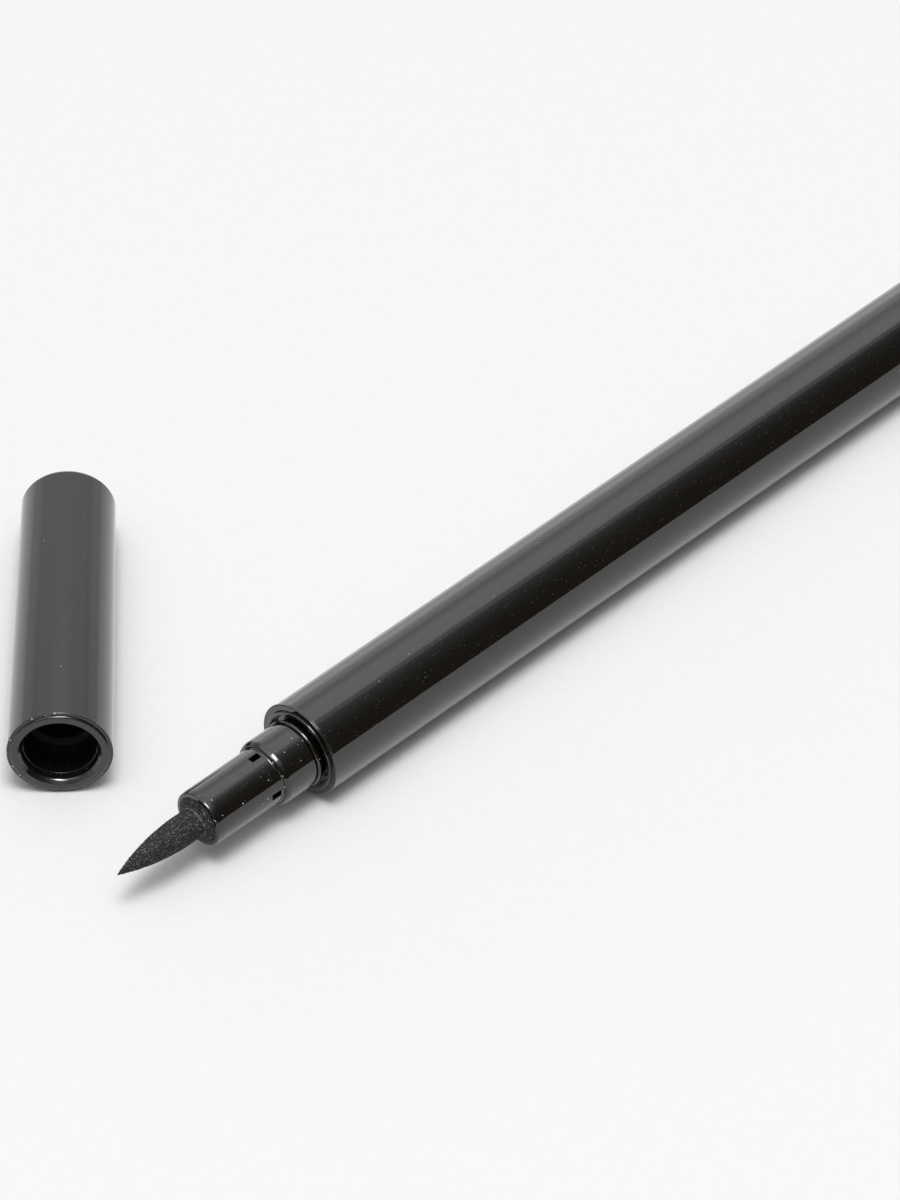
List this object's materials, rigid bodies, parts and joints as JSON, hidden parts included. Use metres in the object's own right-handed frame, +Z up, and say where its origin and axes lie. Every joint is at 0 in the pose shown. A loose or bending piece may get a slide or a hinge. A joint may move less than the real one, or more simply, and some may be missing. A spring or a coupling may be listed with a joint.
{
  "type": "liquid eyeliner pen",
  "caption": "Slim round liquid eyeliner pen with a pointed brush tip, stepped nose and comb-fed ink tank, lying beside its pull-off cap.",
  "frame": {"origin": "on the pen's axis inside the cap seat, 2 mm in front of the seat's rear edge", "axes": "+X along the pen from the tip to the tail, +Z up with the pen lying on its side, -X the way the cap pulls off the seat"},
  "size_m": [0.1236, 0.0541, 0.011],
  "materials": {
    "barrel_gloss": "high gloss black moulding",
    "front_gloss": "high gloss black moulding",
    "cap_satin": "soft gloss black moulding",
    "liner_black": "gloss black moulding",
    "brush_fibre": "ink-soaked black fibre",
    "feed_fibre": "ink-soaked bonded fibre",
    "feed_plastic": "natural moulded plastic",
    "ball_steel": "polished steel"
  },
  "bodies": {
    "pen": {"barrel": "barrel_gloss", "front_ring": "front_gloss", "front_section": "front_gloss", "brush_tip": "brush_fibre", "brush_holder": "feed_plastic", "feed_rod": "feed_fibre", "collector": "feed_plastic", "tail_plug": "barrel_gloss"},
    "ball": {"mixing_ball": "ball_steel"},
    "cap": {"cap_shell": "cap_satin", "inner_cap": "liner_black"}
  },
  "joints": [
    {"name": "ball_roll", "type": "slide", "parent": "pen", "child": "ball", "axis": [1, 0, 0], "range_m": [0, 0.049]},
    {"name": "cap_pull", "type": "slide", "parent": "pen", "child": "cap", "axis": [0.6942, 0.7198, 0], "range_m": [0, 0.027]}
  ]
}
